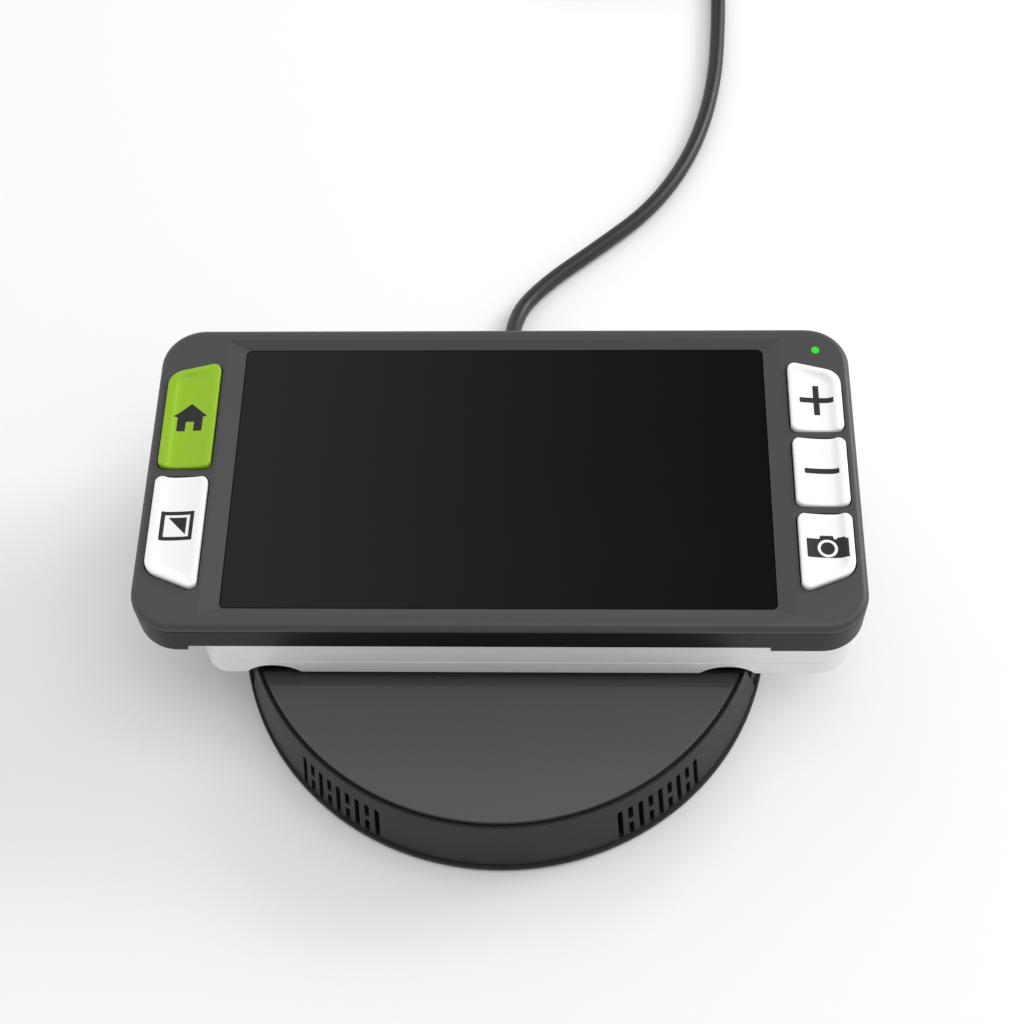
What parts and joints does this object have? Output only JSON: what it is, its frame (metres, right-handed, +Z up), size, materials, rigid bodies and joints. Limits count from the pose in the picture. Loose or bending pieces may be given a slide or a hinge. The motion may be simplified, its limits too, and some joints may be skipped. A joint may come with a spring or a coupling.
{
  "type": "low vision magnifier",
  "caption": "Handheld electronic screen magnifier with large keys, resting on a round charging dock with a captive lead.",
  "frame": {"origin": "dock's axis on the table, at the sole of its centre foot", "axes": "+Z up out of the table, +X to the user's right along the screen, -Y towards the user"},
  "size_m": [0.1554, 0.332, 0.0428],
  "materials": {
    "dock_plastic": "fine texture, satin",
    "dock_plate": "fine texture, satin",
    "bezel_plastic": "soft satin",
    "frame_plastic": "satin",
    "light_plastic": "semi gloss",
    "green_keys": "satin",
    "white_keys": "satin",
    "symbol_ink": "printed",
    "screen_glass": "polished",
    "display_black": "flat",
    "window_glass": "polished",
    "lens_glass": "polished",
    "light_lens": "clear lens",
    "light_green": "lit",
    "rubber": "matte",
    "cable_jacket": "satin",
    "black_plastic": "moulded",
    "circuit_board": "solder resist",
    "battery_film": "foil film",
    "steel": "plated",
    "nickel": "nickel plated",
    "gold": "gold plated"
  },
  "bodies": {
    "dock": {"dock_base_tray": "dock_plastic", "dock_housing": "dock_plastic", "dock_top_plate": "dock_plate", "dock_feet": "rubber", "dock_screws": "steel", "dock_ballast": "steel", "dock_rest_pads": "rubber", "dock_board": "circuit_board", "dock_contact_block": "black_plastic", "dock_contact_pins": "gold", "cable_strain_relief": "cable_jacket", "cable": "cable_jacket", "cable_tail": "cable_jacket", "cable_coil": "cable_jacket", "plug_boot": "cable_jacket", "plug_grip": "cable_jacket", "plug_shell": "nickel", "plug_tongue": "black_plastic"},
    "magnifier": {"front_bezel": "bezel_plastic", "screen_glass": "screen_glass", "display_panel": "display_black", "mid_frame": "frame_plastic", "back_shell": "light_plastic", "back_cover": "light_plastic", "main_board": "circuit_board", "battery_cell": "battery_film", "key_boards": "circuit_board", "key_switches": "black_plastic", "status_light": "light_green", "camera_module": "black_plastic", "camera_lens": "lens_glass", "camera_window": "window_glass", "reading_lights": "light_lens", "back_feet": "rubber", "case_screws": "steel", "charge_contacts": "gold"},
    "home_key": {"home_button": "green_keys", "home_symbol": "symbol_ink"},
    "mode_key": {"mode_button": "white_keys", "mode_symbol": "symbol_ink"},
    "plus_key": {"plus_button": "white_keys", "plus_symbol": "symbol_ink"},
    "minus_key": {"minus_button": "white_keys", "minus_symbol": "symbol_ink"},
    "camera_key": {"camera_button": "white_keys", "camera_symbol": "symbol_ink"}
  },
  "joints": [
    {"name": "magnifier_lift", "type": "slide", "parent": "dock", "child": "magnifier", "axis": [0, 0, 1], "range_m": [0, 0.06]},
    {"name": "home_press", "type": "slide", "parent": "magnifier", "child": "home_key", "axis": [0, 0, -1], "range_m": [0, 0.0008], "stiffness_N_per_m": 1500, "springref_m": -0.0005},
    {"name": "mode_press", "type": "slide", "parent": "magnifier", "child": "mode_key", "axis": [0, 0, -1], "range_m": [0, 0.0008], "stiffness_N_per_m": 1500, "springref_m": -0.0005},
    {"name": "plus_press", "type": "slide", "parent": "magnifier", "child": "plus_key", "axis": [0, 0, -1], "range_m": [0, 0.0008], "stiffness_N_per_m": 1500, "springref_m": -0.0005},
    {"name": "minus_press", "type": "slide", "parent": "magnifier", "child": "minus_key", "axis": [0, 0, -1], "range_m": [0, 0.0008], "stiffness_N_per_m": 1500, "springref_m": -0.0005},
    {"name": "camera_press", "type": "slide", "parent": "magnifier", "child": "camera_key", "axis": [0, 0, -1], "range_m": [0, 0.0008], "stiffness_N_per_m": 1500, "springref_m": -0.0005}
  ]
}
